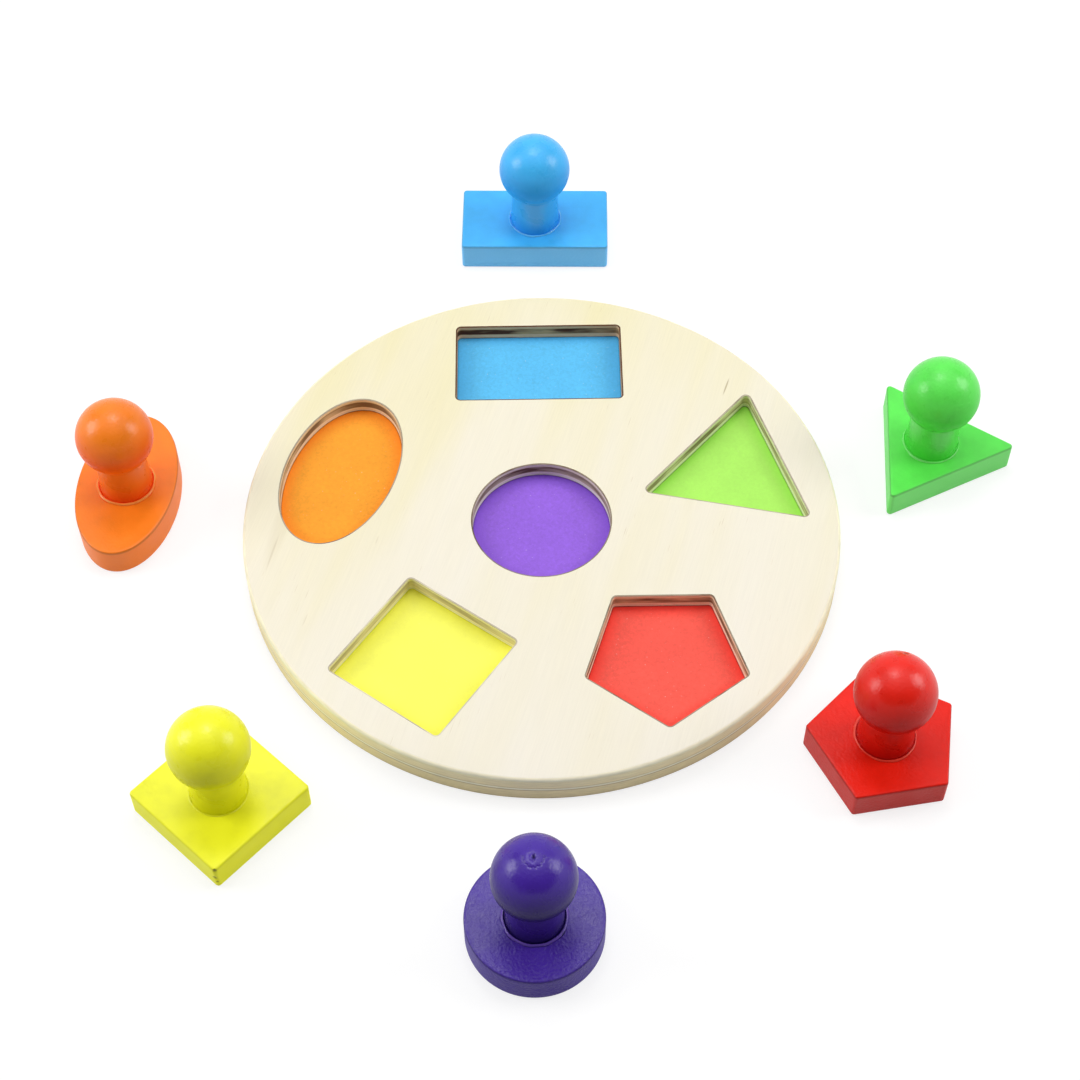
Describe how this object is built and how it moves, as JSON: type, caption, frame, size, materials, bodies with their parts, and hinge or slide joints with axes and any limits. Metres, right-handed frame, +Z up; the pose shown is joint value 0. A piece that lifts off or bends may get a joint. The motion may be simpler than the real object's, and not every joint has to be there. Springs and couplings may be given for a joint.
{
  "type": "wooden peg puzzle",
  "caption": "Round wooden peg puzzle board with coloured recesses and matching painted blocks, each lifted by a turned ball knob.",
  "frame": {"origin": "centre of the board's underside, on the table", "axes": "+Z up out of the board's face; +Y away from the player, towards the rectangular recess; +X to the right"},
  "size_m": [0.3203, 0.3217, 0.0491],
  "materials": {
    "plywood": "bare birch-faced plywood, sanded",
    "blue_paint": "wood under satin blue enamel",
    "green_paint": "wood under satin green enamel",
    "orange_paint": "wood under satin orange enamel",
    "purple_paint": "wood under satin purple enamel",
    "yellow_paint": "wood under satin yellow enamel",
    "red_paint": "wood under satin red enamel",
    "blue_print": "matt blue colour printed on wood",
    "green_print": "matt green colour printed on wood",
    "orange_print": "matt orange colour printed on wood",
    "purple_print": "matt purple colour printed on wood",
    "yellow_print": "matt yellow colour printed on wood",
    "red_print": "matt red colour printed on wood"
  },
  "bodies": {
    "board": {"base_board": "plywood", "top_board": "plywood", "rectangle_floor": "blue_print", "triangle_floor": "green_print", "oval_floor": "orange_print", "circle_floor": "purple_print", "square_floor": "yellow_print", "pentagon_floor": "red_print"},
    "rectangle_piece": {"rectangle_block": "blue_paint", "rectangle_knob": "blue_paint"},
    "triangle_piece": {"triangle_block": "green_paint", "triangle_knob": "green_paint"},
    "oval_piece": {"oval_block": "orange_paint", "oval_knob": "orange_paint"},
    "circle_piece": {"circle_block": "purple_paint", "circle_knob": "purple_paint"},
    "square_piece": {"square_block": "yellow_paint", "square_knob": "yellow_paint"},
    "pentagon_piece": {"pentagon_block": "red_paint", "pentagon_knob": "red_paint"}
  },
  "joints": [
    {"name": "rectangle_lift", "type": "slide", "parent": "board", "child": "rectangle_piece", "axis": [0, 0, 1], "range_m": [0, 0.06]},
    {"name": "triangle_lift", "type": "slide", "parent": "board", "child": "triangle_piece", "axis": [0, 0, 1], "range_m": [0, 0.06]},
    {"name": "oval_lift", "type": "slide", "parent": "board", "child": "oval_piece", "axis": [0, 0, 1], "range_m": [0, 0.06]},
    {"name": "circle_lift", "type": "slide", "parent": "board", "child": "circle_piece", "axis": [0, 0, 1], "range_m": [0, 0.06]},
    {"name": "square_lift", "type": "slide", "parent": "board", "child": "square_piece", "axis": [0, 0, 1], "range_m": [0, 0.06]},
    {"name": "pentagon_lift", "type": "slide", "parent": "board", "child": "pentagon_piece", "axis": [0, 0, 1], "range_m": [0, 0.06]}
  ]
}
